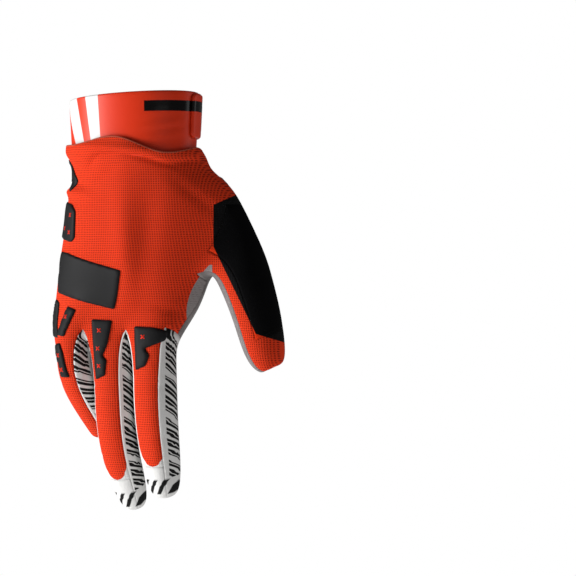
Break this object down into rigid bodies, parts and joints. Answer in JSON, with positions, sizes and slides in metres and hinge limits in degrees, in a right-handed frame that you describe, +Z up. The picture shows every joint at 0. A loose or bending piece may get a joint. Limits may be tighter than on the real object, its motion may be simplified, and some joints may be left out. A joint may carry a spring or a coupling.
{
  "type": "mountain bike glove",
  "caption": "Full-finger mountain bike glove for the right hand: knit back, suede palm, moulded rubber knuckle pads, terry thumb wipe and a strapped wrist cuff.",
  "frame": {"origin": "middle of the wrist opening, level with the cuff's top rim", "axes": "+Z up out of the wrist opening, fingers down; +X to the thumb; -Y to the back of the hand"},
  "size_m": [0.1416, 0.0767, 0.2391],
  "materials": {
    "knit_red": "smooth stretch knit",
    "suede_grey": "matte synthetic suede",
    "mesh_white": "fine stretch mesh",
    "wipe_black": "soft absorbent terry",
    "rubber_black": "moulded, satin",
    "neoprene_red": "smooth skin neoprene"
  },
  "bodies": {
    "root": {"back_knit": "knit_red", "palm_suede": "suede_grey", "fourchette_pinky_ring": "mesh_white", "fourchette_ring_middle": "mesh_white", "fourchette_middle_index": "mesh_white", "index_side": "mesh_white", "pinky_side": "mesh_white", "thumb_wipe": "wipe_black", "tip_pinky": "mesh_white", "tip_ring": "mesh_white", "tip_middle": "mesh_white", "tip_index": "mesh_white", "pad_hand_upper": "rubber_black", "pad_hand_lower": "rubber_black", "pad_knuckles": "rubber_black", "pad_index": "rubber_black", "pad_middle": "rubber_black", "pad_ring_upper": "rubber_black", "pad_ring_lower": "rubber_black", "pad_pinky": "rubber_black", "palm_label": "rubber_black", "cuff_band": "neoprene_red", "wrist_strap": "neoprene_red", "strap_tab": "rubber_black"}
  },
  "joints": []
}
